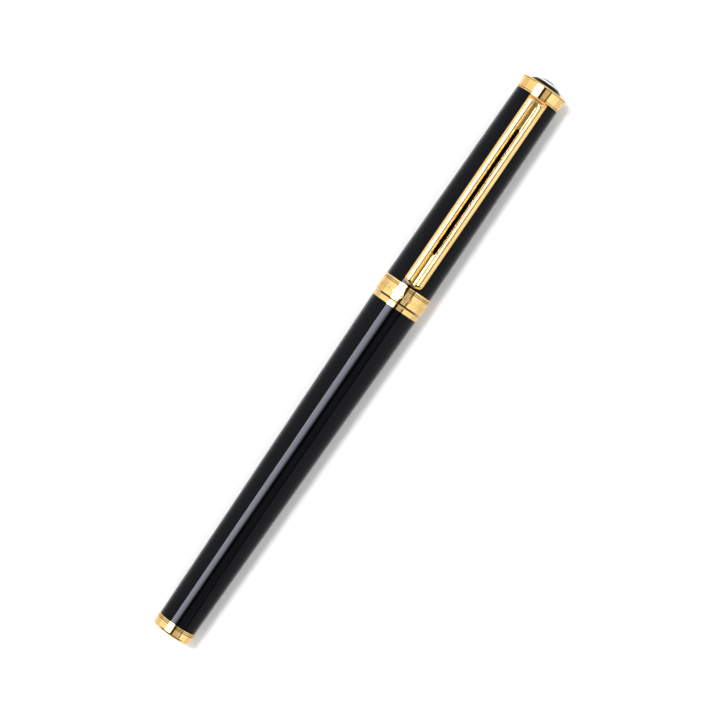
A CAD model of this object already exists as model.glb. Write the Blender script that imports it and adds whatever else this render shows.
import math

import bmesh
import bpy
import numpy as np
from mathutils import Matrix, Vector


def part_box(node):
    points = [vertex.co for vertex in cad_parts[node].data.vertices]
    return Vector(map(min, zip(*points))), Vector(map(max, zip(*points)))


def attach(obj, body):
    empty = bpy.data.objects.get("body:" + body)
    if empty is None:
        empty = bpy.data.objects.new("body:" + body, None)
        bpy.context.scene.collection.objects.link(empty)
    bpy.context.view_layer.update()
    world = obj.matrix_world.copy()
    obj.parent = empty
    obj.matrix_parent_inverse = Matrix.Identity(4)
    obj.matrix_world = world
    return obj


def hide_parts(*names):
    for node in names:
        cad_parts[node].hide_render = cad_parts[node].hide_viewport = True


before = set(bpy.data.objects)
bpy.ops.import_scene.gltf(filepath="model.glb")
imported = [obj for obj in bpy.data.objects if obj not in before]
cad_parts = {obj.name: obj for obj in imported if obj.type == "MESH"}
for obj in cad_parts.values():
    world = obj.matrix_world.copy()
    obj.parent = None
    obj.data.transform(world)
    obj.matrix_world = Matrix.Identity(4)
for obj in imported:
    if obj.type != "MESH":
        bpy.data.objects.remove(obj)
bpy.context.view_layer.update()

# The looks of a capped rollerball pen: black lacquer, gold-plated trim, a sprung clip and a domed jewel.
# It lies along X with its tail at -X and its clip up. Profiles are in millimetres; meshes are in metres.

MM = 0.001
SEGMENTS = 288
CORNER_STEPS = 5


def span(node):
    """First and last station of a CAD node along the pen, in millimetres."""
    low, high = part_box(node)
    return low.x / MM, high.x / MM


def reach(node):
    """Largest radius of a CAD node that is round about the axis, in millimetres."""
    low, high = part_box(node)
    return (high.y - low.y) / 2 / MM


AXIS_HEIGHT = (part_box("cap_band")[0].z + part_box("cap_band")[1].z) / 2 / MM


# Meshes


def softened(corners, radii, closed=True):
    """A profile with every corner turned into a short curve.

    Corner p is cut back by c along both of its edges, and the cut is bridged by the curve
    (1-t)^2 a + 2t(1-t) p + t^2 b, with one more point on each side that holds the edge straight.
    """
    p = np.asarray(corners, float)
    back = np.roll(p, 1, 0) - p
    ahead = np.roll(p, -1, 0) - p
    run_back = np.maximum(np.hypot(*back.T), 1e-9)
    run_ahead = np.maximum(np.hypot(*ahead.T), 1e-9)
    shorter = np.minimum(run_back, run_ahead)
    cut = np.clip(np.broadcast_to(radii, shorter.shape), 0.004, 0.4 * shorter)
    hold = cut + np.minimum(0.03, 0.08 * shorter)
    to_back = back / run_back[:, None]
    to_ahead = ahead / run_ahead[:, None]
    t = np.linspace(0, 1, CORNER_STEPS)[None, :, None]
    a = (p + cut[:, None] * to_back)[:, None]
    b = (p + cut[:, None] * to_ahead)[:, None]
    curve = (1 - t) ** 2 * a + 2 * t * (1 - t) * p[:, None] + t**2 * b
    first = (p + hold[:, None] * to_back)[:, None]
    last = (p + hold[:, None] * to_ahead)[:, None]
    rows = np.concatenate([first, curve, last], axis=1)
    if closed:
        return rows.reshape(-1, 2)
    return np.concatenate([p[:1], rows[1:-1].reshape(-1, 2), p[-1:]])


def divided(rows, longest, closed=True):
    """The same profile with its long straight runs divided evenly, by length along it."""
    ring = np.concatenate([rows, rows[:1]]) if closed else rows
    along = np.concatenate([[0], np.cumsum(np.hypot(*np.diff(ring, axis=0).T))])
    even = np.arange(0, along[-1], longest)
    near = np.abs(even[:, None] - along[None, :]).min(1)
    stops = np.union1d(along, even[near > 0.3 * longest])
    if closed:
        stops = stops[:-1]
    return np.stack([np.interp(stops, along, ring[:, 0]), np.interp(stops, along, ring[:, 1])], 1)


def arc(start, end, radius, side, steps=24):
    """Points of a circle's arc from one profile point to another, bulging to the left for side 1."""
    start, end = np.array(start, float), np.array(end, float)
    chord = end - start
    half = np.hypot(*chord) / 2
    normal = np.array([-chord[1], chord[0]]) / (2 * half)
    centre = (start + end) / 2 - side * normal * math.sqrt(radius**2 - half**2)
    a0 = math.atan2(*(start - centre)[::-1])
    a1 = math.atan2(*(end - centre)[::-1])
    turn = (a1 - a0 + math.pi) % (2 * math.pi) - math.pi
    a = a0 + turn * np.linspace(0, 1, steps)
    return centre + radius * np.stack([np.cos(a), np.sin(a)], 1)


def quads(rows, columns, rows_close, columns_close=True):
    """Faces of a grid of points: each joins a point to its next column, next row and both."""
    i = np.arange(rows if rows_close else rows - 1)[:, None]
    j = np.arange(columns if columns_close else columns - 1)[None, :]
    i2 = (i + 1) % rows
    j2 = (j + 1) % columns
    corners = [i * columns + j, i * columns + j2, i2 * columns + j2, i2 * columns + j]
    return np.stack(np.broadcast_arrays(*corners), -1).reshape(-1, 4)


def make_mesh(name, points, faces, recess=None):
    """A smooth closed mesh in metres from points in millimetres, its faces turned outwards.

    recess, if given, is one number for each point: how far it lies in a groove, from 0 to 1.
    """
    mesh = bpy.data.meshes.new(name)
    mesh.from_pydata((points * MM).tolist(), [], faces)
    if recess is not None:
        layer = mesh.attributes.new("recess", "FLOAT", "POINT")
        layer.data.foreach_set("value", recess.astype(np.float32))
    shell = bmesh.new()
    shell.from_mesh(mesh)
    bmesh.ops.remove_doubles(shell, verts=shell.verts, dist=1e-7)
    bmesh.ops.recalc_face_normals(shell, faces=shell.faces)
    shell.to_mesh(mesh)
    shell.free()
    mesh.shade_smooth()
    return mesh


GROOVE_SLACK = 0.004
ENGRAVED_SHADE = 0.30


def groove_shade(rows, grooves, depth):
    """1 for each row of the outer skin that is between the two stations of a groove, 0 for the others."""
    shade = np.zeros(len(rows))
    for start, end in grooves:
        shade[(rows[:, 0] > start - GROOVE_SLACK) & (rows[:, 0] < end + GROOVE_SLACK)] = 1
    return shade * (rows[:, 1] > rows[:, 1].max() - depth)


def revolve(name, rows, closed=True, segments=SEGMENTS, skin=None, grooves=(), depth=0.3):
    """A surface of revolution about the pen's axis.

    The point of row (x, r) at angle a is (x, r sin a, h + r cos a), with h the axis's height. An end of an
    open profile that is on the axis becomes one point with a fan of triangles. skin(x, r, a) gives the depth
    of an engraving, which is taken off r. Rows in a groove, within depth of the largest radius, are marked
    as recessed, and so is the engraving, less strongly.
    """
    poles = [] if closed else [k for k in (0, -1) if rows[k, 1] < 1e-9]
    body = rows
    if 0 in poles:
        body = body[1:]
    if -1 in poles:
        body = body[:-1]
    a = np.arange(segments) / segments * 2 * np.pi
    x = np.broadcast_to(body[:, :1], (len(body), segments))
    r = np.broadcast_to(body[:, 1:], (len(body), segments))
    recess = np.broadcast_to(groove_shade(body, grooves, depth)[:, None], x.shape)
    if skin is not None:
        cut = skin(x, r, np.broadcast_to(a, x.shape))
        r = r - cut
        recess = np.maximum(recess, ENGRAVED_SHADE * cut / cut.max())
    recess = np.concatenate([recess.ravel(), np.zeros(len(poles))])
    points = np.stack([x, r * np.sin(a), AXIS_HEIGHT + r * np.cos(a)], -1).reshape(-1, 3)
    faces = quads(len(body), segments, closed).tolist()
    around = np.arange(segments)
    for k in poles:
        tip = np.full(segments, len(points))
        points = np.concatenate([points, [[rows[k, 0], 0, AXIS_HEIGHT]]])
        ring = around if k == 0 else around + (len(body) - 1) * segments
        faces += np.stack([ring, np.roll(ring, -1), tip], -1).tolist()
    return make_mesh(name, points, faces, recess)


def add_piece(name, mesh, body, slot, finish, *nodes):
    """Puts a finished mesh in the scene as one piece on a body, in place of its CAD nodes."""
    piece = bpy.data.objects.new(name, mesh)
    bpy.context.scene.collection.objects.link(piece)
    mesh.materials.append(finish)
    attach(piece, body)
    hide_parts(*nodes)
    return piece


# Finishes


class Nodes:
    """Short calls that add shader nodes to one material."""

    def __init__(self, name):
        self.material = bpy.data.materials.new(name)
        self.material.use_nodes = True
        self.tree = self.material.node_tree
        self.shader = self.tree.nodes["Principled BSDF"]

    def add(self, kind, **settings):
        node = self.tree.nodes.new(kind)
        for key, value in settings.items():
            setattr(node, key, value)
        return node

    def join(self, source, target):
        self.tree.links.new(source, target)

    def place(self, scale, location=(0, 0, 0)):
        """Object coordinates, scaled per axis: a large scale makes a pattern fine along that axis."""
        where = self.add("ShaderNodeTexCoord")
        mapping = self.add("ShaderNodeMapping")
        mapping.inputs["Scale"].default_value = scale
        mapping.inputs["Location"].default_value = location
        self.join(where.outputs["Object"], mapping.inputs["Vector"])
        return mapping.outputs["Vector"]

    def noise(self, vector, scale=1.0, detail=2.0, roughness=0.5):
        node = self.add("ShaderNodeTexNoise")
        node.inputs["Scale"].default_value = scale
        node.inputs["Detail"].default_value = detail
        node.inputs["Roughness"].default_value = roughness
        self.join(vector, node.inputs["Vector"])
        return node.outputs["Fac"]

    def ramp(self, value, stops, interpolation="LINEAR"):
        node = self.add("ShaderNodeValToRGB")
        node.color_ramp.interpolation = interpolation
        elements = node.color_ramp.elements
        while len(elements) < len(stops):
            elements.new(0.5)
        for element, (position, colour) in zip(elements, stops):
            element.position = position
            element.color = (*colour, 1.0)
        self.join(value, node.inputs["Fac"])
        return node.outputs["Color"]

    def range(self, value, low, high, new_low, new_high):
        node = self.add("ShaderNodeMapRange")
        for key, number in (("From Min", low), ("From Max", high), ("To Min", new_low), ("To Max", new_high)):
            node.inputs[key].default_value = number
        self.join(value, node.inputs["Value"])
        return node.outputs["Result"]

    def sum(self, a, b, weight=1.0):
        node = self.add("ShaderNodeMath", operation="MULTIPLY_ADD")
        self.join(b, node.inputs[0])
        node.inputs[1].default_value = weight
        self.join(a, node.inputs[2])
        return node.outputs["Value"]

    def blend(self, share, a, colour):
        """Colour a where share is 0 and one fixed colour where it is 1."""
        node = self.add("ShaderNodeMix", data_type="RGBA")
        self.join(share, node.inputs["Factor"])
        self.join(a, node.inputs[6])
        node.inputs[7].default_value = (*colour, 1.0)
        return node.outputs[2]

    def bump(self, height, strength, distance, after=None):
        node = self.add("ShaderNodeBump")
        node.inputs["Strength"].default_value = strength
        node.inputs["Distance"].default_value = distance
        self.join(height, node.inputs["Height"])
        if after is not None:
            self.join(after, node.inputs["Normal"])
        return node.outputs["Normal"]

    def set(self, **sockets):
        for key, value in sockets.items():
            self.shader.inputs[key.replace("_", " ")].default_value = value

    def drive(self, socket, output):
        self.join(output, self.shader.inputs[socket])


def lacquer_finish(name, dark, light, gloss, ior=1.238):
    """Polished black lacquer: a deep, almost even black with a faint flow in its surface, hairlines along and
    round the tube, and a slight haze where hands have been."""
    n = Nodes(name)
    flow = n.noise(n.place((60, 220, 220)), scale=1.0, detail=2.0)
    hairlines = n.noise(n.place((900, 14000, 14000)), detail=3.0, roughness=0.6)
    hazes = n.noise(n.place((90, 160, 160), (3, 1, 2)), detail=4.0, roughness=0.6)
    n.drive("Base Color", n.ramp(hazes, [(0.35, dark), (0.7, light)]))
    haze = n.range(hazes, 0.35, 0.75, gloss, gloss + 0.03)
    n.drive("Roughness", n.sum(haze, n.range(hairlines, 0.55, 0.8, 0.0, 0.03)))
    n.drive("Normal", n.bump(flow, 0.06, 0.0002, n.bump(hairlines, 0.02, 0.00002)))
    n.set(IOR=ior, Specular_Tint=(0.84, 0.87, 1.0, 1.0))
    return n.material


GOLD_DEEP = (0.95, 0.60, 0.20)
GOLD_PALE = (1.00, 0.69, 0.30)
GOLD_EDGE = (0.85, 0.78, 0.66, 1.0)
GROOVE_DARK = (0.014, 0.008, 0.004)


def gold_finish(name, along, round_about, gloss=0.02, lines=0.05):
    """Gold plate: warm yellow that varies a little in depth, with fine polishing lines whose fineness along
    the pen and round it is given, a slight haze of handling, and dark polish left in its grooves."""
    n = Nodes(name)
    tone = n.noise(n.place((240, 240, 240)), detail=3.0, roughness=0.55)
    polish = n.noise(n.place((along, round_about, round_about)), detail=3.0, roughness=0.7)
    left = n.add("ShaderNodeAttribute", attribute_name="recess")
    gold = n.ramp(n.sum(tone, polish, 0.25), [(0.45, GOLD_DEEP), (0.78, GOLD_PALE)])
    n.drive("Base Color", n.blend(left.outputs["Fac"], gold, GROOVE_DARK))
    haze = n.range(n.sum(tone, polish, 0.5), 0.5, 1.1, gloss, gloss + 0.03)
    n.drive("Roughness", n.sum(haze, left.outputs["Fac"], 0.35))
    n.drive("Normal", n.bump(polish, lines, 0.00001))
    n.set(Metallic=1.0, Specular_Tint=GOLD_EDGE)
    return n.material


def moulded_finish(name, dark, light, gloss, grain=900, bumpiness=0.15):
    """Moulded plastic: a slightly mottled colour, a fine skin texture and uneven gloss."""
    n = Nodes(name)
    mottle = n.noise(n.place((300, 300, 300)), detail=3.0)
    skin = n.noise(n.place((grain * 4, grain * 4, grain * 4)), detail=2.0)
    n.drive("Base Color", n.ramp(mottle, [(0.35, dark), (0.7, light)]))
    n.drive("Roughness", n.range(n.sum(mottle, skin, 0.5), 0.5, 1.0, gloss, gloss + 0.15))
    n.drive("Normal", n.bump(skin, bumpiness, 0.00001))
    return n.material


def metal_finish(name, dark, light, gloss, along=6000, round_about=150, lines=0.3):
    """Turned bare metal: tool lines round the axis, and a tarnish that comes and goes."""
    n = Nodes(name)
    tool = n.noise(n.place((along, round_about, round_about)), detail=3.0, roughness=0.7)
    tarnish = n.noise(n.place((400, 400, 400)), detail=4.0, roughness=0.6)
    n.drive("Base Color", n.ramp(n.sum(tarnish, tool, 0.3), [(0.45, dark), (0.85, light)]))
    n.drive("Roughness", n.range(n.sum(tarnish, tool, 0.6), 0.5, 1.2, gloss, gloss + 0.2))
    n.drive("Normal", n.bump(tool, lines, 0.00001))
    n.set(Metallic=1.0)
    return n.material


def fibre_finish(name, dark, light):
    """Bundled fibres that run along the refill, soaked unevenly with ink."""
    n = Nodes(name)
    fibres = n.noise(n.place((200, 9000, 9000)), detail=4.0, roughness=0.7)
    soaked = n.noise(n.place((120, 500, 500)), detail=3.0)
    n.drive("Base Color", n.ramp(n.sum(soaked, fibres, 0.4), [(0.5, dark), (0.9, light)]))
    n.drive("Roughness", n.range(fibres, 0.3, 0.7, 0.6, 0.9))
    n.drive("Normal", n.bump(fibres, 0.6, 0.00004))
    return n.material


black_lacquer = lacquer_finish("black_lacquer", (0.0006, 0.0006, 0.0009), (0.0014, 0.0014, 0.0020), 0.04)
black_resin = lacquer_finish("black_resin", (0.0008, 0.0008, 0.001), (0.002, 0.002, 0.0025), 0.06, ior=1.14)
turned_gold = gold_finish("turned_gold", 16000, 120)
brushed_gold = gold_finish("brushed_gold", 150, 15000, gloss=0.015, lines=0.04)
ivory_resin = moulded_finish("ivory_resin", (0.72, 0.70, 0.64), (0.86, 0.84, 0.79), 0.12)
brass = metal_finish("brass", (0.50, 0.32, 0.11), (0.80, 0.58, 0.25), 0.22)
spring_steel = metal_finish("spring_steel", (0.33, 0.33, 0.34), (0.60, 0.60, 0.62), 0.25)
screw_steel = metal_finish("screw_steel", (0.40, 0.40, 0.41), (0.62, 0.62, 0.63), 0.28)
tip_steel = metal_finish("tip_steel", (0.48, 0.48, 0.50), (0.75, 0.75, 0.77), 0.16)
carbide = metal_finish("carbide", (0.18, 0.18, 0.19), (0.30, 0.30, 0.31), 0.12, 3000, 3000)
refill_plastic = moulded_finish("refill_plastic", (0.010, 0.012, 0.030), (0.020, 0.024, 0.055), 0.30)
plug_plastic = moulded_finish("plug_plastic", (0.03, 0.03, 0.032), (0.06, 0.06, 0.064), 0.35)
nose_plastic = moulded_finish("nose_plastic", (0.02, 0.02, 0.022), (0.045, 0.045, 0.05), 0.32)
liner_plastic = moulded_finish("liner_plastic", (0.012, 0.012, 0.013), (0.025, 0.025, 0.027), 0.38)
inked_fibre = fibre_finish("inked_fibre", (0.004, 0.006, 0.03), (0.02, 0.03, 0.12))
feed_fibre = fibre_finish("feed_fibre", (0.01, 0.012, 0.04), (0.10, 0.11, 0.18))


# Barrel

BARREL_WALL = 0.65
barrel_back, barrel_front = span("barrel_tube")
BARREL_TAIL_RADIUS = 4.24
barrel_radius = reach("barrel_tube")
barrel_profile = [
    (barrel_back, BARREL_TAIL_RADIUS - BARREL_WALL),
    (barrel_back, BARREL_TAIL_RADIUS),
    (barrel_front, barrel_radius),
    (barrel_front, barrel_radius - BARREL_WALL),
]
barrel_mesh = revolve("lacquered_barrel", divided(softened(barrel_profile, 0.03), 2.5))
add_piece("lacquered_barrel", barrel_mesh, "barrel", "black_lacquer", black_lacquer, "barrel_tube")

GROOVE_WIDTH = 0.14
GROOVE_DEPTH = 0.07
GROOVE_ROUND = 0.012
BEAD_WIDTH = 0.22


def groove_stations(start):
    """The two stations of each groove of a pair."""
    second = start + GROOVE_WIDTH + BEAD_WIDTH
    return [(start, start + GROOVE_WIDTH), (second, second + GROOVE_WIDTH)]


def groove_pair(start, radius_at):
    """Corners of two turned grooves with a narrow bead between them, the first starting at a station."""
    corners = []
    for edge in (start, start + GROOVE_WIDTH + BEAD_WIDTH):
        corners.append((edge, radius_at(edge)))
        corners.append((edge, radius_at(edge) - GROOVE_DEPTH))
        corners.append((edge + GROOVE_WIDTH, radius_at(edge + GROOVE_WIDTH) - GROOVE_DEPTH))
        corners.append((edge + GROOVE_WIDTH, radius_at(edge + GROOVE_WIDTH)))
    return corners


TAIL_LAND = 1.75
TAIL_FLOOR = 1.20
TAIL_ROUND = 0.54
POCKET_RADIUS = 2.30
tail_face, spigot_end = span("tail_cap")
tail_radius = reach("tail_cap")
spigot_radius = BARREL_TAIL_RADIUS - BARREL_WALL
tail_profile = [
    (tail_face, 0),
    (tail_face, tail_radius),
    *groove_pair(tail_face + TAIL_LAND, lambda x: tail_radius),
    (barrel_back, tail_radius),
    (barrel_back, spigot_radius),
    (spigot_end, spigot_radius),
    (spigot_end, POCKET_RADIUS),
    (tail_face + TAIL_FLOOR, POCKET_RADIUS),
    (tail_face + TAIL_FLOOR, 0),
]
tail_rounding = [0, TAIL_ROUND] + [GROOVE_ROUND] * 8 + [0.05] + [0.02] * 5
tail_rows = divided(softened(tail_profile, tail_rounding, closed=False), 0.6, closed=False)
tail_grooves = groove_stations(tail_face + TAIL_LAND)
tail_mesh = revolve("gilt_tail_cap", tail_rows, closed=False, grooves=tail_grooves)
add_piece("gilt_tail_cap", tail_mesh, "barrel", "gold_plate", turned_gold, "tail_cap")

RING_BEVEL = 0.30
RING_BEVEL_DROP = 0.09
RING_BORE_STEP = 0.18
RING_DARK_EDGE = 0.10
ring_back, ring_front = span("barrel_front_ring")
ring_radius = reach("barrel_front_ring")
ring_bore = reach("barrel_bush") - RING_BORE_STEP
ring_profile = [
    (ring_back, ring_bore),
    (ring_back, ring_radius),
    (ring_front - RING_BEVEL, ring_radius),
    (ring_front, ring_radius - RING_BEVEL_DROP),
    (ring_front, ring_bore),
]
ring_rows = divided(softened(ring_profile, [0.02, 0.03, 0.05, 0.03, 0.02]), 0.06)
ring_mesh = revolve("gilt_front_ring", ring_rows, grooves=[(ring_front - RING_DARK_EDGE, ring_front)])
add_piece("gilt_front_ring", ring_mesh, "barrel", "gold_plate", turned_gold, "barrel_front_ring")

# Section

SEAT_RADIUS = 3.50
CLUTCH_RIM = 0.88
CLUTCH_SLOPE = 0.33
CLUTCH_DROP = 0.23
clutch_back, clutch_front = span("clutch_ring")
clutch_radius = reach("clutch_ring")
clutch_profile = [
    (clutch_back, SEAT_RADIUS),
    (clutch_back, clutch_radius),
    (clutch_back + CLUTCH_RIM, clutch_radius),
    (clutch_back + CLUTCH_RIM + CLUTCH_SLOPE, clutch_radius - CLUTCH_DROP),
    (clutch_front, clutch_radius - CLUTCH_DROP),
    (clutch_front, SEAT_RADIUS),
]
clutch_mesh = revolve("black_clutch_ring", softened(clutch_profile, 0.04))
add_piece("black_clutch_ring", clutch_mesh, "section", "black_resin", black_resin, "clutch_ring")

SECTION_BORE = 3.20
GRIP_FRONT_RADIUS = 3.50
GRIP_WAIST_ARC = 400.0
CONE_SPIGOT_RADIUS = 2.95
SEAT_LENGTH = 4.80
grip_back, grip_front = span("grip")
grip_radius = reach("grip")
cone_back, cone_front = span("nose_cone")
ring_two_back, ring_two_front = span("grip_ring")
waist = arc((grip_back, grip_radius), (grip_front, GRIP_FRONT_RADIUS), GRIP_WAIST_ARC, 1, 40)
grip_corners = [
    (grip_front, CONE_SPIGOT_RADIUS),
    (cone_back, CONE_SPIGOT_RADIUS),
    (cone_back, SECTION_BORE),
    (grip_back + SEAT_LENGTH, SECTION_BORE),
    (grip_back + SEAT_LENGTH, SEAT_RADIUS),
    (grip_back, SEAT_RADIUS),
]
grip_profile = softened([*waist, *grip_corners], 0.05)
grip_mesh = revolve("black_grip", grip_profile, segments=192)
add_piece("black_grip", grip_mesh, "section", "black_resin", black_resin, "grip")

trim_radius = reach("grip_ring")
trim_profile = [
    (ring_two_back, CONE_SPIGOT_RADIUS),
    (ring_two_back, trim_radius),
    (ring_two_front, trim_radius),
    (ring_two_front, CONE_SPIGOT_RADIUS),
]
trim_mesh = revolve("gilt_grip_ring", softened(trim_profile, [0.02, 0.12, 0.12, 0.02]))
add_piece("gilt_grip_ring", trim_mesh, "section", "gold_plate", turned_gold, "grip_ring")

CONE_BORE = 2.40
CONE_FRONT_RADIUS = 1.60
CONE_ARC = 16.0
CONE_MOUTH = 1.32
CONE_THROAT = 1.85
CONE_THROAT_LENGTH = 4.57
CONE_BORE_LENGTH = 2.13
cone_radius = reach("nose_cone")
nose = arc((ring_two_front, cone_radius), (cone_front, CONE_FRONT_RADIUS), CONE_ARC, 1, 28)
cone_corners = [
    (cone_front, CONE_MOUTH),
    (ring_two_front + CONE_THROAT_LENGTH, CONE_THROAT),
    (ring_two_front + CONE_BORE_LENGTH, CONE_BORE),
    (cone_back, CONE_BORE),
    (cone_back, CONE_SPIGOT_RADIUS),
    (ring_two_front, CONE_SPIGOT_RADIUS),
]
cone_mesh = revolve("gilt_nose_cone", softened([*nose, *cone_corners], 0.05))
add_piece("gilt_nose_cone", cone_mesh, "section", "gold_plate", turned_gold, "nose_cone")

# Tip

TIP_SHANK_RADIUS = 0.90
TIP_SHANK_LENGTH = 2.00
TIP_BODY_LENGTH = 2.80
TIP_CHANNEL = 0.20
TIP_CUP = 0.36
FEED_RADIUS = 0.50
TIP_LIP_WALL = 0.06
tip_back, tip_lip = span("tip_socket")
tip_radius = reach("tip_socket")
ball_low, ball_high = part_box("tip_ball")
ball_centre = (ball_low.x + ball_high.x) / 2 / MM
ball_radius = (ball_high.x - ball_low.x) / 2 / MM
cup_mouth = math.sqrt(TIP_CUP**2 - (tip_lip - ball_centre) ** 2)
cup_foot = ball_centre - math.sqrt(TIP_CUP**2 - TIP_CHANNEL**2)
cup = arc((tip_lip, cup_mouth), (cup_foot, TIP_CHANNEL), TIP_CUP, 1, 10)
tip_profile = [
    (tip_back, FEED_RADIUS),
    (tip_back, TIP_SHANK_RADIUS),
    (tip_back + TIP_SHANK_LENGTH, TIP_SHANK_RADIUS),
    (tip_back + TIP_SHANK_LENGTH, tip_radius),
    (tip_back + TIP_SHANK_LENGTH + TIP_BODY_LENGTH, tip_radius),
    (tip_lip, ball_radius + TIP_LIP_WALL),
    *cup,
    (tip_back + TIP_SHANK_LENGTH, TIP_CHANNEL),
    (tip_back + TIP_SHANK_LENGTH, FEED_RADIUS),
]
tip_mesh = revolve("steel_tip", softened(tip_profile, 0.02), segments=128)
add_piece("steel_tip", tip_mesh, "refill", "tip_steel", tip_steel, "tip_socket")

turn = np.linspace(0, np.pi, 33)
ball_rows = np.stack([ball_centre - ball_radius * np.cos(turn), ball_radius * np.sin(turn)], 1)
ball_rows[[0, -1], 1] = 0
ball_mesh = revolve("carbide_ball", ball_rows, closed=False, segments=64)
add_piece("carbide_ball", ball_mesh, "ball", "carbide", carbide, "tip_ball")

# Cap band, with a ring of small engraved figures

LIP_WALL = 0.75
LIP_DEPTH = 1.44
BAND_LAND = 2.90
BAND_STRAIGHT = 1.45
BAND_NECK = 5.38
LIP_CHAMFER = 0.07
LIP_DARK_EDGE = 0.05
CAP_NECK_DROP = 0.21
cap_back, cap_front = span("cap_tube")
band_back, band_front = span("cap_band")
band_radius = reach("cap_band")
cap_radius = reach("cap_tube")
cap_neck = cap_radius - CAP_NECK_DROP


def band_skin(station):
    """The band's radius at a station: straight at first, then tapering evenly."""
    taper = (band_radius - BAND_NECK) / (band_front - band_back - BAND_STRAIGHT)
    return band_radius - (station - band_back - BAND_STRAIGHT) * taper


FIGURES = 32
FIGURE_HEIGHT = 1.00
FIGURE_DEPTH = 0.010
STROKE = 0.055
STROKE_SIDE = 0.05
LOZENGE_HALF = 0.36
LOZENGE_SLOPE = 0.30
DOT_OFFSET = 0.30
DOT_RADIUS = 0.02
OPEN_RING_RADIUS = 0.28
OPEN_RING_SQUEEZE = 0.72
CROSS_HALF = 0.26
SKIN_DEPTH = 0.3
BAND_SEGMENTS = FIGURES * 26
figure_middle = band_back + BAND_STRAIGHT


def stroke(distance):
    """One inside an engraved line and none outside it, with sloping sides."""
    t = np.clip((STROKE + 0.04 - np.abs(distance)) / STROKE_SIDE, 0, 1)
    return t * t * (3 - 2 * t)


def engraved(x, r, a):
    """The depth of the band's engraving.

    Round the band run, in turn, an open lozenge |u|/a + |v|/b = 1, an upright bar between two dots, a small
    open ring and a cross: u is the distance round from a figure's middle, and v along from it.
    """
    cell = a / (2 * np.pi) * FIGURES
    kind = np.floor(cell) % 4
    u = (cell - np.floor(cell) - 0.5) * 2 * np.pi * band_radius / FIGURES
    v = x - figure_middle
    half = FIGURE_HEIGHT / 2
    lozenge = stroke((np.abs(u) / LOZENGE_HALF + np.abs(v) / half - 1) * LOZENGE_SLOPE)
    bar = stroke(np.maximum(np.abs(u), np.abs(v) - half + 0.06))
    dots = stroke(np.hypot(np.abs(u) - DOT_OFFSET, v) - DOT_RADIUS)
    ring = stroke(np.hypot(u, v * OPEN_RING_SQUEEZE) - OPEN_RING_RADIUS)
    cross = np.maximum(stroke(np.maximum(np.abs(v), np.abs(u) - CROSS_HALF)), bar)
    figure = np.select([kind == 0, kind == 1, kind == 2], [lozenge, np.maximum(bar, dots), ring], cross)
    inside = (np.abs(v) < half + 0.1) & (r > band_radius - SKIN_DEPTH)
    return FIGURE_DEPTH * figure * inside


band_bore = band_radius - LIP_WALL
band_corners = [
    (band_back, band_bore),
    (band_back, band_radius - LIP_CHAMFER),
    (band_back + LIP_CHAMFER, band_radius),
    (figure_middle, band_radius),
    *groove_pair(band_back + BAND_LAND, band_skin),
    (band_front, band_skin(band_front)),
    (band_front, cap_neck),
    (band_back + LIP_DEPTH, cap_neck),
    (band_back + LIP_DEPTH, band_bore),
]
band_softness = [0.03, 0.02, 0.02, 0.2] + [GROOVE_ROUND] * 8 + [0.03, 0.02, 0.02, 0.02]

# Where the figures are, close rows take the place of the profile's few.
FINE_HALF = 0.63
FINE_STEP = 0.035
band_rows = softened(band_corners, band_softness)
fine = np.arange(figure_middle - FINE_HALF, figure_middle + FINE_HALF, FINE_STEP)
zone = np.stack([fine, np.minimum(band_radius, band_skin(fine))], 1)
land = (band_rows[:, 1] > band_radius - SKIN_DEPTH) & (band_rows[:, 0] > band_back + 0.3)
land &= band_rows[:, 0] < band_back + BAND_LAND - 0.1
first = int(np.argmax(land))
band_rows = np.concatenate([band_rows[:first], zone, band_rows[first:][~land[first:]]])
lip_edge = (band_back, band_back + LIP_DARK_EDGE)
band_grooves = [lip_edge, *groove_stations(band_back + BAND_LAND)]
band_mesh = revolve("gilt_lip_band", band_rows, segments=BAND_SEGMENTS, skin=engraved, grooves=band_grooves)
add_piece("gilt_lip_band", band_mesh, "cap", "gold_plate", turned_gold, "cap_band")

# Cap tube, with its notch for the clip's tab

CAP_WALL = 0.50
CAP_FRONT_RADIUS = 4.92
NOTCH_HALF = 1.80
NOTCH_DEPTH = 0.96
NOTCH_COLUMNS = 37
ROUND_COLUMNS = 252
taper = (cap_radius - CAP_FRONT_RADIUS) / (cap_front - band_front)
cap_profile = [
    (cap_back, cap_radius - CAP_WALL + (band_front - cap_back) * taper),
    (cap_back, cap_neck),
    (band_front, cap_neck),
    (band_front, cap_radius),
    (cap_front, CAP_FRONT_RADIUS),
    (cap_front, CAP_FRONT_RADIUS - CAP_WALL),
]
cap_rows = divided(softened(cap_profile, [0.03, 0.03, 0.02, 0.02, 0.02, 0.02]), 1.2)


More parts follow.
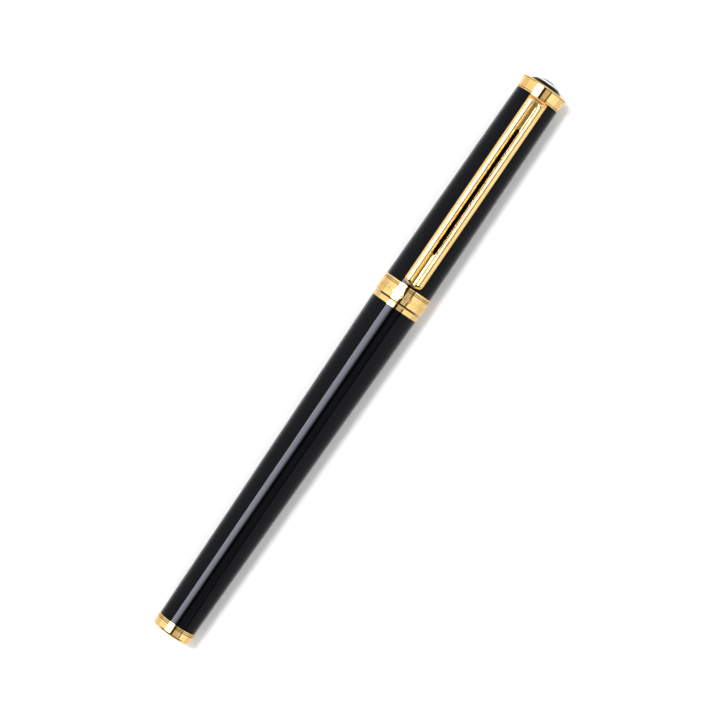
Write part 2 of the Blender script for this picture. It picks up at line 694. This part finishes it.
def notched_tube(name, rows):
    """The tube's surface of revolution with a square notch in the top of its front edge.

    Columns of the grid stand on the notch's two sides and rows on its floor, the faces between them are left
    out of both walls, and three strips between the walls close it.
    """
    half = math.asin(NOTCH_HALF / CAP_FRONT_RADIUS)
    floor = cap_front - NOTCH_DEPTH
    notch = np.linspace(-half, half, NOTCH_COLUMNS)
    a = np.concatenate([notch, np.linspace(half, 2 * np.pi - half, ROUND_COLUMNS)[1:-1]])
    ring = np.concatenate([rows, rows[:1]])
    crossing = np.flatnonzero((ring[:-1, 0] - floor) * (ring[1:, 0] - floor) < 0)
    pieces, last = [], 0
    for k in crossing:
        share = (floor - ring[k, 0]) / (ring[k + 1, 0] - ring[k, 0])
        pieces += [rows[last : k + 1], [ring[k] + share * (ring[k + 1] - ring[k])]]
        last = k + 1
    rows = np.concatenate([*pieces, rows[last:]])
    x, r = rows[:, :1], rows[:, 1:]
    points = np.stack(np.broadcast_arrays(x, r * np.sin(a), AXIS_HEIGHT + r * np.cos(a)), -1).reshape(-1, 3)
    four = quads(len(rows), len(a), True)
    i, j = np.divmod(np.arange(len(four)), len(a))
    following = (i + 1) % len(rows)
    high = np.minimum(rows[i, 0], rows[following, 0]) >= floor - 1e-6
    four = four[~(high & (j < NOTCH_COLUMNS - 1))]
    on_floor = np.flatnonzero(np.abs(rows[:, 0] - floor) < 1e-6)
    outside, inside = on_floor[0], on_floor[1]
    near = outside * len(a) + np.arange(NOTCH_COLUMNS - 1)
    far = inside * len(a) + np.arange(NOTCH_COLUMNS - 1)
    base = np.stack([near, near + 1, far + 1, far], 1)
    rim = np.arange(outside, inside + 1)
    sides = []
    for column in (0, NOTCH_COLUMNS - 1):
        ordered = rim * len(a) + column
        pairs = len(ordered) // 2
        low, top = ordered[:pairs], ordered[::-1][:pairs]
        sides.append(np.stack([low[:-1], low[1:], top[1:], top[:-1]], 1))
    return make_mesh(name, points, np.concatenate([four, base, *sides]).tolist())


cap_mesh = notched_tube("lacquered_cap", cap_rows)
add_piece("lacquered_cap", cap_mesh, "cap", "black_lacquer", black_lacquer, "cap_tube")

# Crown, jewel and inlay

BOSS_RADIUS = 1.80
SCREW_RADIUS = 1.00
CROWN_BACK = 4.94
CROWN_BEAD = 0.27
CROWN_STEP = 0.05
CROWN_BEVEL = 0.26
CROWN_CUP = 1.70
CROWN_GROOVE = 0.10
FLARE_STATION = 0.45
FLARE_SHARE = 0.30
FLARE_EASE = 4.0
RIM_LINE_BACK = 0.12
RIM_LINE_FRONT = 0.02
CROWN_SKIN = 0.7
crown_back, crown_top = span("crown")
crown_radius = reach("crown")
jewel_radius = reach("jewel")
jewel_back, dome_top = span("jewel")
bead_end = cap_front + CROWN_BEAD
crown_flare = crown_top - CROWN_BEVEL - bead_end
crown_profile = [
    (crown_back, SCREW_RADIUS),
    (crown_back, BOSS_RADIUS),
    (cap_front, BOSS_RADIUS),
    (cap_front, CROWN_BACK),
    (bead_end, CROWN_BACK + CROWN_STEP / 2),
    (bead_end, CROWN_BACK - CROWN_STEP),
    (bead_end + CROWN_GROOVE, CROWN_BACK),
    (bead_end + FLARE_STATION * crown_flare, CROWN_BACK + FLARE_SHARE * (crown_radius - CROWN_BACK)),
    (crown_top - CROWN_BEVEL, crown_radius),
    (crown_top, crown_radius - CROWN_BEVEL),
    (crown_top, jewel_radius),
    (crown_top - CROWN_CUP, jewel_radius),
    (crown_top - CROWN_CUP, SCREW_RADIUS),
]
crown_softness = [0.02, 0.02, 0.02, 0.05, 0.04, 0.015, 0.04, FLARE_EASE, 0.06, 0.05, 0.03, 0.02, 0.02]
crown_rows = divided(softened(crown_profile, crown_softness), 0.06)
rim_line = (crown_top - CROWN_BEVEL - RIM_LINE_BACK, crown_top - CROWN_BEVEL - RIM_LINE_FRONT)
crown_grooves = [(bead_end, bead_end + CROWN_GROOVE), rim_line]
crown_mesh = revolve("flared_crown", crown_rows, grooves=crown_grooves, depth=CROWN_SKIN)
add_piece("flared_crown", crown_mesh, "cap", "gold_plate", turned_gold, "crown")

INLAY_INNER = 1.90
INLAY_OUTER = 2.70
INLAY_DEPTH = 0.35
RECESS_RADIUS = 2.05
RECESS_DEPTH = 0.75
dome_rise = dome_top - crown_top
dome_arc = (jewel_radius**2 + dome_rise**2) / (2 * dome_rise)


def dome(radius):
    """The dome's station at a radius: the circle of the dome's arc, with its top on the axis."""
    return dome_top - dome_arc + np.sqrt(dome_arc**2 - np.asarray(radius) ** 2)


def dome_run(outer_radius, inner_radius, steps):
    """Profile points down the dome from a larger radius to a smaller one."""
    r = np.linspace(outer_radius, inner_radius, steps)
    return np.stack([dome(r), r], 1)


inlay_floor = float(dome(INLAY_OUTER)) - INLAY_DEPTH
recess_floor = jewel_back + RECESS_DEPTH
jewel_rows = np.concatenate(
    [
        [(recess_floor, 0)],
        [(recess_floor, RECESS_RADIUS - 0.03), (recess_floor - 0.03, RECESS_RADIUS)],
        [(jewel_back + 0.03, RECESS_RADIUS), (jewel_back, RECESS_RADIUS + 0.03)],
        [(jewel_back, jewel_radius - 0.03), (jewel_back + 0.03, jewel_radius)],
        [(crown_top - 0.02, jewel_radius)],
        dome_run(jewel_radius - 0.02, INLAY_OUTER + 0.03, 26),
        [(float(dome(INLAY_OUTER)) - 0.02, INLAY_OUTER), (inlay_floor, INLAY_OUTER)],
        [(inlay_floor, INLAY_INNER), (float(dome(INLAY_INNER)) - 0.02, INLAY_INNER)],
        dome_run(INLAY_INNER - 0.03, 0, 22),
    ]
)
jewel_rows[-1, 1] = 0
jewel_mesh = revolve("domed_jewel", jewel_rows, closed=False)
add_piece("domed_jewel", jewel_mesh, "cap", "black_resin", black_resin, "jewel")

inlay_rows = np.concatenate(
    [
        [(inlay_floor, INLAY_INNER + 0.01), (inlay_floor, INLAY_OUTER - 0.01)],
        [(float(dome(INLAY_OUTER)) - 0.03, INLAY_OUTER - 0.01)],
        dome_run(INLAY_OUTER - 0.03, INLAY_INNER + 0.03, 14),
        [(float(dome(INLAY_INNER)) - 0.03, INLAY_INNER + 0.01)],
    ]
)
inlay_mesh = revolve("pale_inlay", inlay_rows)
add_piece("pale_inlay", inlay_mesh, "cap", "ivory_resin", ivory_resin, "jewel_inlay")

# Clip: two ribs with a valley and an open slot between them

CLIP_PITCH = math.atan(taper) + math.radians(0.335)
CLIP_SETBACK = 0.087
CLIP_BASE = CAP_FRONT_RADIUS + 0.30
CLIP_TOP = CLIP_BASE + 1.15
CLIP_HALF = 2.13
ROOT_HEIGHT = CROWN_BACK + 0.06
ROOT_BEVEL = 1.20
RIB_MIDDLE = 1.10
RIB_EDGE = 0.58
VALLEY_HALF = 0.45
VALLEY_DEPTH = 0.52
SLOT_START = 7.45
SLOT_TO_TIP = 7.92
NOSE_BEVEL = 0.87
NOSE_CORNER = 1.30
NOSE_HALF = 0.80
FOOT_DROP = 0.44
FOOT_LENGTH = 3.20
FOOT_RAMP = 0.80
RIB_WAVER = 0.018
DARK_WIDTH = 0.62
SLOPE_SHADE = 0.5
TAB_COLUMNS = 48
TAB_HALF = 1.60
TAB_THICKNESS = 0.60
TAB_REACH = 3.02
clip_start = CLIP_SETBACK + ROOT_HEIGHT * math.sin(CLIP_PITCH)
clip_length = cap_front - band_front - clip_start - 0.37
clip_root = cap_front - clip_start


def eased(value, low, high):
    """Nought below low, one above high, and 3t^2 - 2t^3 between."""
    t = np.clip((value - low) / (high - low), 0, 1)
    return t * t * (3 - 2 * t)


def set_on_cap(along, across, height):
    """The clip's own length, width and height as points on the pen: it points to the tail, tip raised."""
    x = clip_root - along * math.cos(CLIP_PITCH) + height * math.sin(CLIP_PITCH)
    z = AXIS_HEIGHT + along * math.sin(CLIP_PITCH) + height * math.cos(CLIP_PITCH)
    return np.stack(np.broadcast_arrays(x, across, z), -1)


def clip_stations():
    """Distances along the clip: close together at the root, the slot's ends and the tip, wider between."""
    slot_end = clip_length - SLOT_TO_TIP
    parts = [
        np.linspace(0, ROOT_BEVEL * 1.3, 22),
        np.linspace(ROOT_BEVEL * 1.3, SLOT_START, 18),
        SLOT_START + VALLEY_HALF * (1 - np.cos(np.linspace(0, np.pi / 2, 12))),
        np.linspace(SLOT_START + VALLEY_HALF, slot_end - VALLEY_HALF, 110),
        slot_end - VALLEY_HALF * (1 - np.cos(np.linspace(np.pi / 2, 0, 12))),
        np.linspace(slot_end, clip_length - NOSE_CORNER, 24),
        clip_length - NOSE_CORNER * (1 - np.sin(np.linspace(0, np.pi / 2, 26))),
    ]
    return np.unique(np.concatenate(parts).round(6))


def sprung_clip():
    """The clip as one half, mirrored.

    A row is a half cross-section at one distance along the clip. Its columns run from the middle or the
    slot's edge over the valley, the rib and the outer edge, down the side, and back underneath. On the inner
    slope the rib rises from the valley's floor by the share 1 - (1 - q)^2 / 2 - (1 - q)^5 / 2, and on the
    outer one it falls to the side's edge by 0.85 q^2 + 0.15 (1 - sqrt(1 - q^8)), q from 0 to 1 outwards.
    Rows in the slot are closed by a wall; the others meet their mirror image at the middle. The valley and
    the inner slope are given as recessed, as grooves are.
    """
    s = clip_stations()[:, None]
    slot_end = clip_length - SLOT_TO_TIP
    into = np.minimum(s - SLOT_START, slot_end - s)
    depth = np.clip(into, 0, VALLEY_HALF)
    gap = np.sqrt(np.maximum(VALLEY_HALF**2 - (VALLEY_HALF - depth) ** 2, 0))
    waver = RIB_WAVER * (np.sin(2.3 * s) + 0.7 * np.sin(3.7 * s + 1.0)) * eased(s, 1.0, 5.0)
    nose = np.clip((s - (clip_length - NOSE_CORNER)) / NOSE_CORNER, 0, 1)
    half = NOSE_HALF + (CLIP_HALF - NOSE_HALF) * np.sqrt(np.maximum(1 - nose**3, 0))
    root = eased(s, -0.35 * ROOT_BEVEL, ROOT_BEVEL)
    root = (root - root[0]) / (1 - root[0])
    top = ROOT_HEIGHT + (CLIP_TOP - ROOT_HEIGHT) * root
    dip = np.clip((s - (clip_length - NOSE_BEVEL)) / NOSE_BEVEL, 0, 1)
    top = top - NOSE_BEVEL * 0.9 * (dip - 0.06 * np.sin(np.pi * dip) * (1 - dip))
    under = CLIP_BASE - FOOT_DROP * eased(s, clip_length - FOOT_LENGTH - FOOT_RAMP, clip_length - FOOT_LENGTH)
    under = under - 0.35 * (1 - eased(s, 0, 0.7))
    valley = VALLEY_DEPTH * eased(s, 0.5, 2.6) * (1 - eased(s, clip_length - 1.1, clip_length - 0.3))
    groove = 0.14 * eased(s, 2.0, 4.0) * (1 - eased(into, -0.6, 0.0)) * (s > slot_end - 1)
    edge = RIB_EDGE * eased(s, 0, 1.5) * (1 - 0.55 * dip)
    floor = top - valley
    side = top - np.maximum(edge, 0.10)
    lift = half / CLIP_HALF
    inner = (VALLEY_HALF + 0.05) * lift
    crest = RIB_MIDDLE * lift
    rim = 0.05 * lift
    columns = []
    for share in (0.0, 0.35, 0.7, 1.0):
        across = gap + (np.maximum(inner, gap + rim) - gap) * share
        columns.append((across, floor - groove * (1 - share)))
    start = np.maximum(inner, gap + rim)
    for q in np.linspace(0, 1, 15)[1:]:
        rise = 1 - 0.5 * (1 - q) ** 2 - 0.5 * (1 - q) ** 5
        across = start + (crest - start) * q + waver * np.sin(np.pi * q)
        columns.append((across, floor + (top - floor) * rise))
    for q in np.sin(np.linspace(0, np.pi / 2, 17))[1:]:
        fall = 0.85 * q * q + 0.15 * (1 - np.sqrt(max(1 - q**8, 0.0)))
        columns.append((crest + (half - crest) * q, side + (top - side) * (1 - fall)))
    low = under + 0.06
    columns += [(half, side * 0.97 + low * 0.03), (half, side * 0.03 + low * 0.97)]
    columns += [(half, low), (half - 0.02, under + 0.02), (half - 0.06, under)]
    columns += [(half - 0.09, under), (gap + rim + 0.03, under), (gap + rim, under)]
    columns += [(gap + rim * 0.3, under + 0.015), (gap, under + rim)]
    across = np.stack([np.broadcast_to(c[0], s.shape)[:, 0] for c in columns], 1)
    height = np.stack([np.broadcast_to(c[1], s.shape)[:, 0] for c in columns], 1)
    rows, count = across.shape
    right = set_on_cap(s, across, height).reshape(-1, 3)
    before_slot = (1 - eased(s, SLOT_START, SLOT_START + 0.1)) * eased(s, 1.2, 2.2)
    after_slot = eased(s, slot_end - 0.1, slot_end)
    middle_line = np.clip(1.15 - np.abs(across) / (DARK_WIDTH * start), 0, 1) * (before_slot + after_slot)
    inner_slope = SLOPE_SHADE * np.clip((crest - across) / (crest - start), 0, 1)
    dark = np.maximum(middle_line, inner_slope) * (height > under + 0.15)
    left = right * (1, -1, 1)
    skin = quads(rows, count, False, False)
    wall = np.arange(rows - 1)[:, None] * count + np.array([count - 1, 0, count, 2 * count - 1])
    open_rows = (gap[:-1, 0] > 0) | (gap[1:, 0] > 0)
    ends = [list(range(count)), list(range((rows - 1) * count, rows * count))]
    half_faces = skin.tolist() + wall[open_rows].tolist() + ends
    faces = half_faces + [[v + len(right) for v in reversed(face)] for face in half_faces]
    return np.concatenate([right, left]), faces, np.tile(dark.ravel(), 2)


def tab():
    """The clip's tab: a rounded plate, its section a superellipse that is carried down into the notch."""
    turn = np.arange(TAB_COLUMNS) / TAB_COLUMNS * 2 * np.pi
    c, w = np.cos(turn), np.sin(turn)
    along = TAB_THICKNESS / 2 * np.sign(c) * np.abs(c) ** 0.2
    across = TAB_HALF * np.sign(w) * np.abs(w) ** 0.12
    foot = CLIP_BASE - TAB_REACH
    levels = np.array([foot, foot + 0.05, CLIP_BASE - 0.4, CLIP_BASE + 0.1])
    shrink = np.array([0.97, 1.0, 1.0, 1.0])[:, None]
    points = set_on_cap(TAB_THICKNESS / 2 + along * shrink, across * shrink, levels[:, None]).reshape(-1, 3)
    faces = quads(len(levels), TAB_COLUMNS, False).tolist()
    faces += [list(range(TAB_COLUMNS)), list(range(3 * TAB_COLUMNS, 4 * TAB_COLUMNS))]
    return points, faces


clip_points, clip_faces, clip_dark = sprung_clip()
tab_points, tab_faces = tab()
clip_faces += [[v + len(clip_points) for v in face] for face in tab_faces]
clip_recess = np.concatenate([clip_dark, np.zeros(len(tab_points))])
clip_mesh = make_mesh("sprung_clip", np.concatenate([clip_points, tab_points]), clip_faces, clip_recess)
add_piece("sprung_clip", clip_mesh, "clip", "gold_plate", brushed_gold, "clip")

# Pieces inside, whose shape is kept

KEPT_FINISHES = {
    "refill_spring": spring_steel,
    "barrel_bush": brass,
    "section_nipple": brass,
    "refill_tube": refill_plastic,
    "refill_plug": plug_plastic,
    "ink_wick": inked_fibre,
    "refill_nose": nose_plastic,
    "feed_rod": feed_fibre,
    "clutch_sleeve": brass,
    "inner_cap": liner_plastic,
    "cap_stud": brass,
    "finial_screw": screw_steel,
}
for node, finish in KEPT_FINISHES.items():
    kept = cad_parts[node]
    kept.data.materials.clear()
    kept.data.materials.append(finish)

# Floor, lights and camera


PAPER_DARK = (0.86, 0.86, 0.86)
PAPER_LIGHT = (0.88, 0.88, 0.88)
FLOOR_HALF = 4


def floor_finish():
    """Plain white paper with a barely seen unevenness."""
    n = Nodes("white_floor")
    tone = n.noise(n.place((6, 6, 6)), detail=2.0)
    n.drive("Base Color", n.ramp(tone, [(0.3, PAPER_DARK), (0.7, PAPER_LIGHT)]))
    n.set(Roughness=0.9)
    return n.material


floor_mesh = bpy.data.meshes.new("floor")
turns = ((-1, -1), (1, -1), (1, 1), (-1, 1))
floor_corners = [(FLOOR_HALF * x, FLOOR_HALF * y, 0) for x, y in turns]
floor_mesh.from_pydata(floor_corners, [], [(0, 1, 2, 3)])
floor_mesh.materials.append(floor_finish())
floor = bpy.data.objects.new("floor", floor_mesh)
bpy.context.scene.collection.objects.link(floor)

CARD_HEIGHT = 0.90


def glow(name, colour, stops=None, strength=1.0):
    """A card's light, even or fading across it by the card's own coordinates."""
    material = bpy.data.materials.new(name)
    material.use_nodes = True
    tree = material.node_tree
    tree.nodes.clear()
    out = tree.nodes.new("ShaderNodeOutputMaterial")
    light = tree.nodes.new("ShaderNodeEmission")
    light.inputs["Color"].default_value = (*colour, 1.0)
    light.inputs["Strength"].default_value = strength
    tree.links.new(light.outputs["Emission"], out.inputs["Surface"])
    if stops:
        uv = tree.nodes.new("ShaderNodeUVMap")
        split = tree.nodes.new("ShaderNodeSeparateXYZ")
        fade = tree.nodes.new("ShaderNodeValToRGB")
        elements = fade.color_ramp.elements
        while len(elements) < len(stops):
            elements.new(0.5)
        for element, (position, level) in zip(elements, stops):
            element.position = position
            element.color = (*(level * np.array(colour)), 1.0)
        tree.links.new(uv.outputs["UV"], split.inputs["Vector"])
        tree.links.new(split.outputs["X"], fade.inputs["Fac"])
        tree.links.new(fade.outputs["Color"], light.inputs["Color"])
    return material


def seen_in_gloss(name, corners, faces, material, across=None):
    """A card that shows only in reflections; across gives each corner's place over its width, 0 to 1."""
    mesh = bpy.data.meshes.new(name)
    mesh.from_pydata(corners, [], faces)
    if across is not None:
        layer = mesh.uv_layers.new(name="card")
        for loop in mesh.loops:
            layer.data[loop.index].uv = (across[loop.vertex_index], 0.5)
    mesh.materials.append(material)
    piece = bpy.data.objects.new(name, mesh)
    bpy.context.scene.collection.objects.link(piece)
    piece.visible_diffuse = False
    piece.visible_shadow = False
    piece.visible_camera = False


def card(name, near, far, half_length, material, height=CARD_HEIGHT, bow=0.0, slant=0.0):
    """A flat card over the pen.

    near and far are the angles from straight up, plus to the -Y side, at which its long edges are seen from
    the pen's middle. Both grow by bow towards each end and by slant towards the tail.
    """
    corners, across = [], []
    stations = np.linspace(-1, 1, 25 if bow else 2)
    for end in stations:
        for share, angle in ((0, near), (1, far)):
            a = math.radians(angle + bow * end * end - slant * end)
            corners.append((end * half_length, -height * math.tan(a), height + AXIS_HEIGHT * MM))
            across.append(share)
    faces = [(2 * i, 2 * i + 1, 2 * i + 3, 2 * i + 2) for i in range(len(stations) - 1)]
    seen_in_gloss(name, corners, faces, material, across)


def grey(level):
    """An even grey of one level."""
    return (level, level, level)


def oblong(half_width, low, high):
    """The four corners of an oblong, as pairs."""
    return ((-half_width, low), (half_width, low), (half_width, high), (-half_width, high))


# The cards over the pen. Where two overlap, the lower one is seen in the gloss.
SOFTBOX_FADE = [(0.0, 1.5), (0.09, 1.35), (0.20, 1.0), (0.54, 0.93), (0.71, 0.70), (0.85, 0.32), (1.0, 0.0)]
SOFTBOX_STRENGTH = 25.0
SOFTBOX_COLOUR = (0.97, 0.98, 1.0)
PANEL_LENGTH = 0.60
STEP = 0.01
card("softbox", -41.5, -7.5, 0.42, glow("softbox_light", SOFTBOX_COLOUR, SOFTBOX_FADE, SOFTBOX_STRENGTH))
card("dark_gap", -8, 5.5, PANEL_LENGTH, glow("dark_gap_shade", grey(0.05)), CARD_HEIGHT + STEP)
card("dim_panel", 6, 38, PANEL_LENGTH, glow("dim_panel_shade", grey(0.62)), CARD_HEIGHT + 2 * STEP)
slit_shade = glow("dark_slit_shade", grey(0.02))
card("dark_slit", 29.5, 34.5, 0.30, slit_shade, CARD_HEIGHT - 2 * STEP, bow=18.0, slant=3.0)
card("left_panel", -58, -42, PANEL_LENGTH, glow("left_panel_light", grey(1.18)), CARD_HEIGHT + STEP)
card("right_panel", 39, 58, PANEL_LENGTH, glow("right_panel_light", grey(1.22)), CARD_HEIGHT + STEP)

# Upright and lying cards round the pen: a shade on the floor, a wall at each side, a flag past the tail.
FLOOR_GAP = 0.0003
SHADE = oblong(0.5, 0.012, 0.5)
WALL = oblong(1.2, 0.01, 0.96)
WALL_DISTANCE = 1.5
FLAG = oblong(2.0, 0.10, 1.1)
FLAG_DISTANCE = 0.80
ONE_FACE = [(0, 1, 2, 3)]
for side in (-1, 1):
    low = [(x, side * y, FLOOR_GAP) for x, y in SHADE]
    seen_in_gloss("low_shade", low, ONE_FACE, glow("low_shade", grey(0.86)))
    wall = [(x, side * WALL_DISTANCE, z) for x, z in WALL]
    seen_in_gloss("side_wall", wall, ONE_FACE, glow("side_wall_light", grey(1.10)))
flag = [(-FLAG_DISTANCE, y, z) for y, z in FLAG]
seen_in_gloss("tail_flag", flag, ONE_FACE, glow("tail_flag_shade", grey(0.02)))

world = bpy.data.worlds.new("studio")
world.use_nodes = True
bpy.context.scene.world = world
surround = world.node_tree.nodes["Background"]
sky = world.node_tree.nodes.new("ShaderNodeTexCoord")
sky_split = world.node_tree.nodes.new("ShaderNodeSeparateXYZ")
sky_ramp = world.node_tree.nodes.new("ShaderNodeValToRGB")
SKY_STOPS = ((0.0, 0.60), (0.35, 0.92))
for element, (position, level) in zip(sky_ramp.color_ramp.elements, SKY_STOPS):
    element.position = position
    element.color = (*grey(level), 1.0)
world.node_tree.links.new(sky.outputs["Generated"], sky_split.inputs["Vector"])
world.node_tree.links.new(sky_split.outputs["Z"], sky_ramp.inputs["Fac"])
world.node_tree.links.new(sky_ramp.outputs["Color"], surround.inputs["Color"])
SKY_STRENGTH = 0.95
surround.inputs["Strength"].default_value = SKY_STRENGTH

KEY_ANGLE = 19.5
KEY_LEAN = 5.0
KEY_DISTANCE = 1.6
KEY_SIZE = 0.30
KEY_POWER = 15.5
key_data = bpy.data.lights.new("key", "AREA")
key_data.shape = "DISK"
key_data.size = KEY_SIZE
key_data.energy = KEY_POWER
key = bpy.data.objects.new("key", key_data)
bpy.context.scene.collection.objects.link(key)
key_lean = math.tan(math.radians(KEY_LEAN))
key_side = math.tan(math.radians(KEY_ANGLE))
key_direction = Vector((key_lean, key_side, 1.0)).normalized()
key.location = key_direction * KEY_DISTANCE
key.rotation_mode = "QUATERNION"
key.rotation_quaternion = key_direction.to_track_quat("Z", "Y")
key.visible_glossy = False

EYE = Vector((0.0234, 0.0390, 0.676 + AXIS_HEIGHT * MM))
AIM = Vector((-0.00025, -0.00027, AXIS_HEIGHT * MM))
PICTURE_UP = Vector((0.8246, 0.5657, 0.0))
LENS = 165.0
view_data = bpy.data.cameras.new("view")
view_data.sensor_width = 36.0
view_data.lens = LENS
view_data.clip_start = 0.01
view_data.clip_end = 20.0
view = bpy.data.objects.new("view", view_data)
bpy.context.scene.collection.objects.link(view)
towards_eye = (EYE - AIM).normalized()
right = PICTURE_UP.cross(towards_eye).normalized()
up = towards_eye.cross(right)
turn = Matrix((right, up, towards_eye)).transposed()
view.matrix_world = Matrix.Translation(EYE) @ turn.to_4x4()
bpy.context.scene.camera = view
bpy.context.scene.view_settings.view_transform = "Standard"
